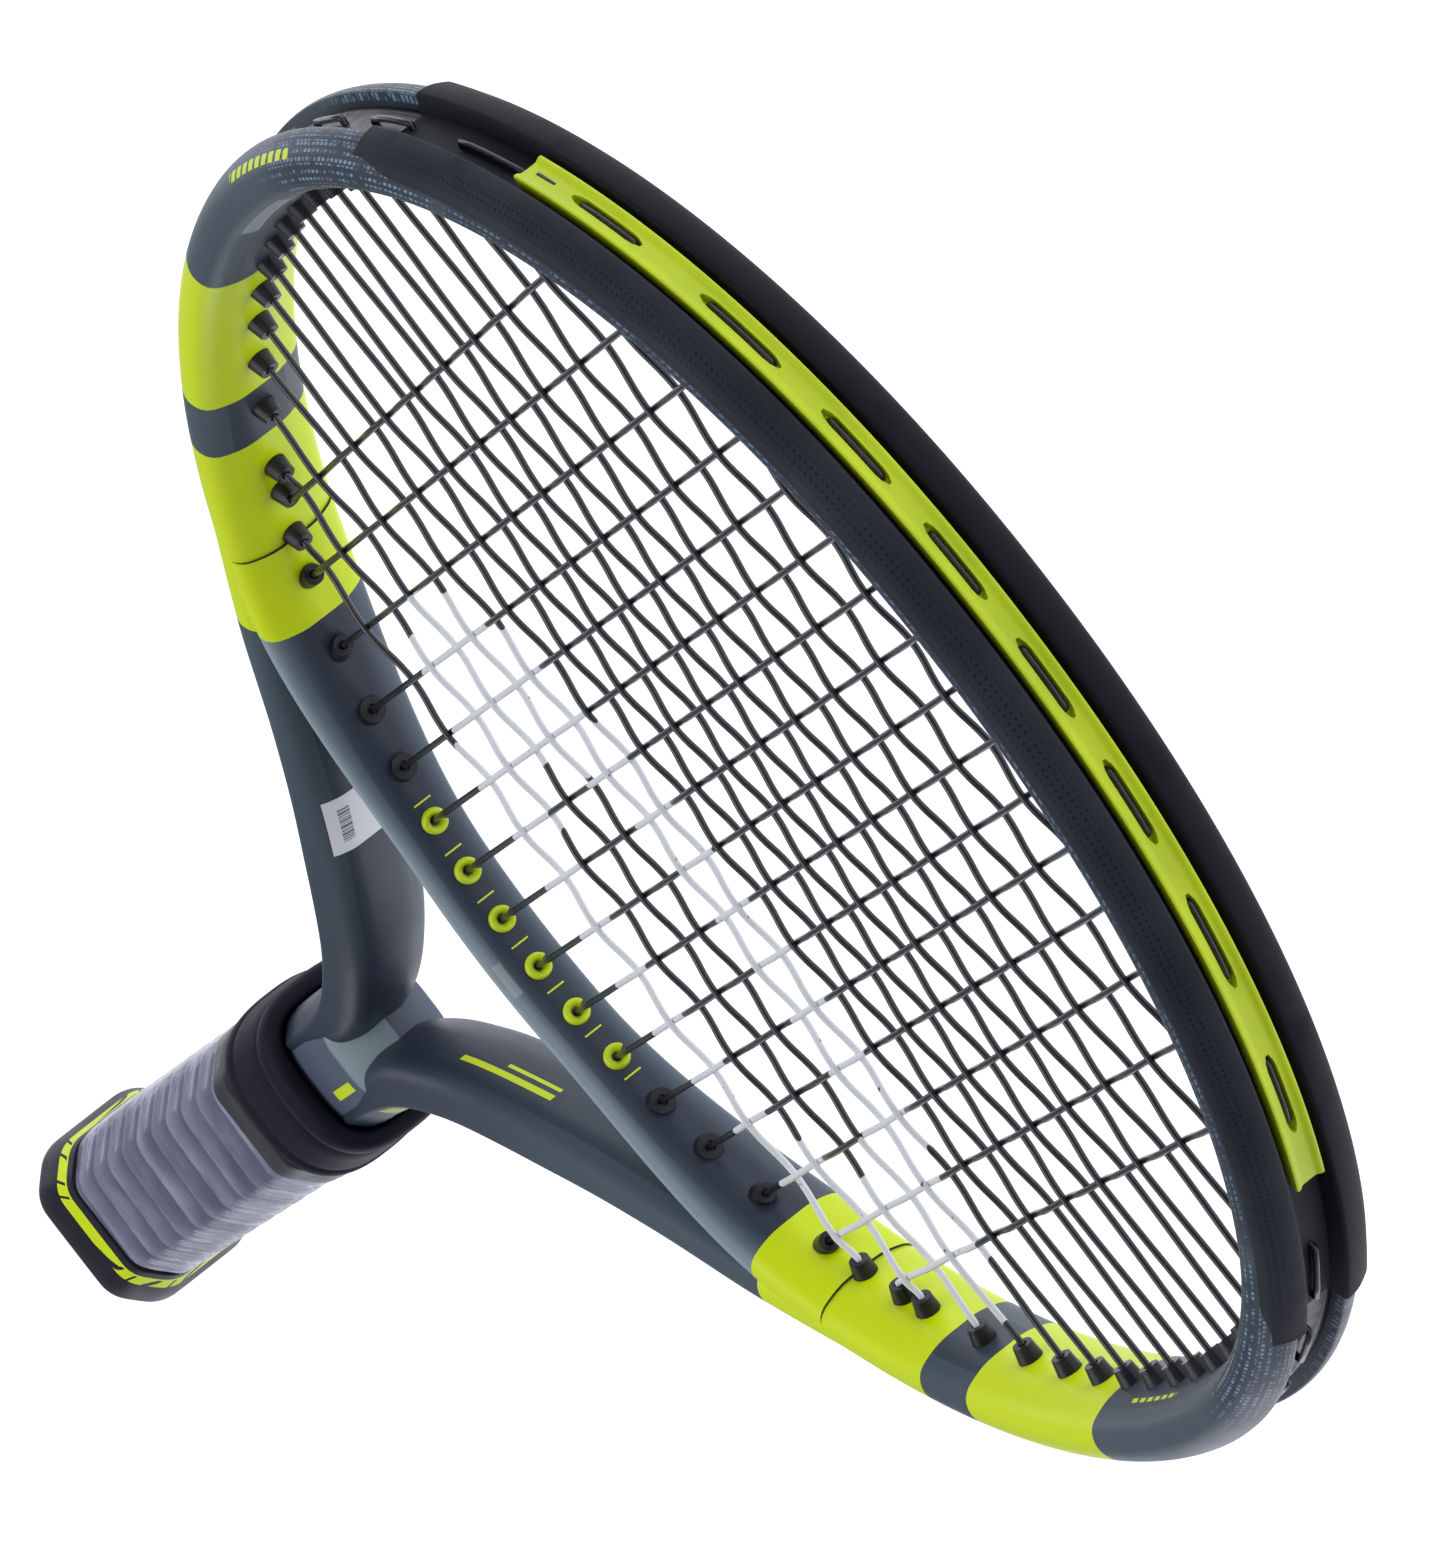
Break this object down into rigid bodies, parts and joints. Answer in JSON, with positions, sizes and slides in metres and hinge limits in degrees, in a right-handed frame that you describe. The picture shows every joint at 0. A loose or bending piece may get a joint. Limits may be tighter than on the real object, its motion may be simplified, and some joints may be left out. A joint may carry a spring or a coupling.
{
  "type": "tennis racket",
  "caption": "Strung tennis racket: aero-section hoop and open throat with a bridge, bumper guard, grommet strips, woven string bed and octagonal wrapped handle with a sliding rubber collar.",
  "frame": {"origin": "middle of the flat end face of the butt cap", "axes": "+Y from the butt to the tip of the head, +X across the head, +Z out of one string face, so the strings lie in the plane Z = 0"},
  "size_m": [0.2718, 0.6844, 0.0366],
  "materials": {
    "hoop_paint": "satin lacquer over moulded carbon fibre, slate blue with yellow-green bands",
    "bridge_paint": "satin lacquer over moulded carbon fibre",
    "bumper": "matt moulded nylon",
    "lime_nylon": "satin moulded nylon",
    "black_nylon": "glossy moulded nylon",
    "string": "glossy polyester monofilament",
    "pallet_foam": "bare moulded polyurethane",
    "cap_plastic": "matt moulded plastic",
    "grip": "smooth polyurethane skin on felt",
    "film": "clear shrink film",
    "tape": "glossy vinyl tape",
    "rubber": "matt ribbed rubber",
    "label": "printed paper"
  },
  "bodies": {
    "racket": {"frame_tube": "hoop_paint", "throat_bridge": "bridge_paint", "bumper_guard": "bumper", "head_grommet_strip": "lime_nylon", "side_grommet_strip_left": "black_nylon", "side_grommet_strip_right": "black_nylon", "throat_grommet_strip": "black_nylon", "spin_grommet_left_1": "lime_nylon", "spin_grommet_left_2": "lime_nylon", "spin_grommet_left_3": "lime_nylon", "spin_grommet_right_1": "lime_nylon", "spin_grommet_right_2": "lime_nylon", "spin_grommet_right_3": "lime_nylon", "main_string": "string", "cross_string": "string", "pallet_front": "pallet_foam", "pallet_back": "pallet_foam", "butt_cap": "cap_plastic", "base_grip": "grip", "grip_film": "film", "finishing_tape": "tape", "stock_label": "label"},
    "collar": {"rubber_collar": "rubber"}
  },
  "joints": [
    {"name": "collar_slide", "type": "slide", "parent": "racket", "child": "collar", "axis": [0, 1, 0], "range_m": [0, 0.01]}
  ]
}
